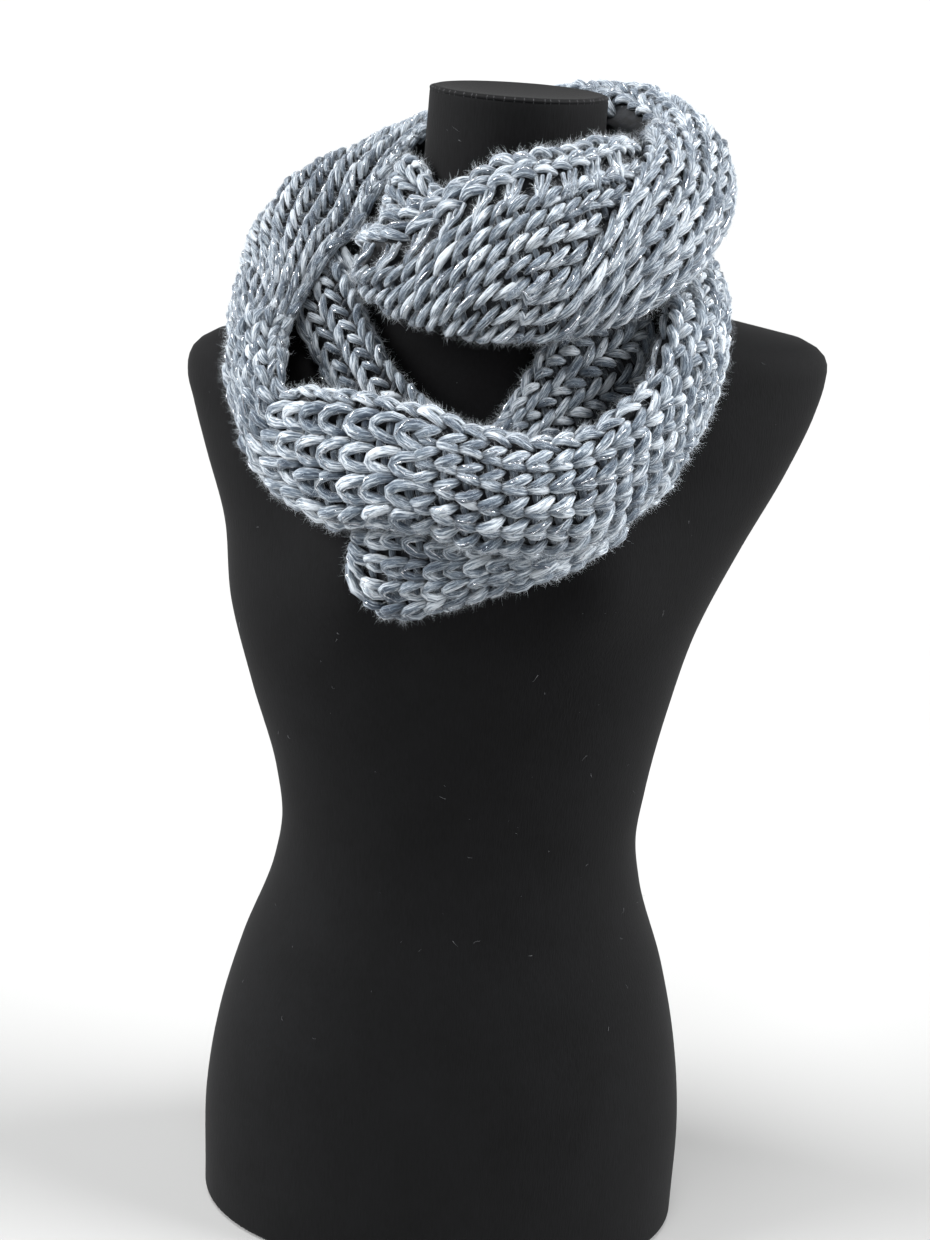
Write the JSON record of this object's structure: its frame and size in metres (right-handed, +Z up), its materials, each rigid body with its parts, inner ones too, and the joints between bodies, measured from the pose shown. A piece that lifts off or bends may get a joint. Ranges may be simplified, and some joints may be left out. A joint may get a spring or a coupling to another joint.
{
  "type": "infinity scarf on a dress form",
  "caption": "Chunky ribbed infinity scarf wound twice round the neck of a limbless, flat-based dress form, with a folded corner hanging at the front.",
  "frame": {"origin": "on the flat underside of the dress form, under the middle of its neck and shoulders", "axes": "+Z up through the neck, -Y out of the chest, +X towards the form's left arm side"},
  "size_m": [0.433, 0.2951, 0.8518],
  "materials": {
    "form_jersey": "matt black stretch jersey over a hard torso",
    "knit": "soft marled steel-grey chunky yarn with a thin silver filament and a light halo of fuzz"
  },
  "bodies": {
    "root": {"dress_form": "form_jersey", "upper_front": "knit", "upper_back": "knit", "left_outer": "knit", "lower_front": "knit", "right_outer": "knit", "lower_back": "knit", "inner_left": "knit", "inner_right": "knit", "neck_left": "knit", "corner_fold": "knit"}
  },
  "joints": []
}
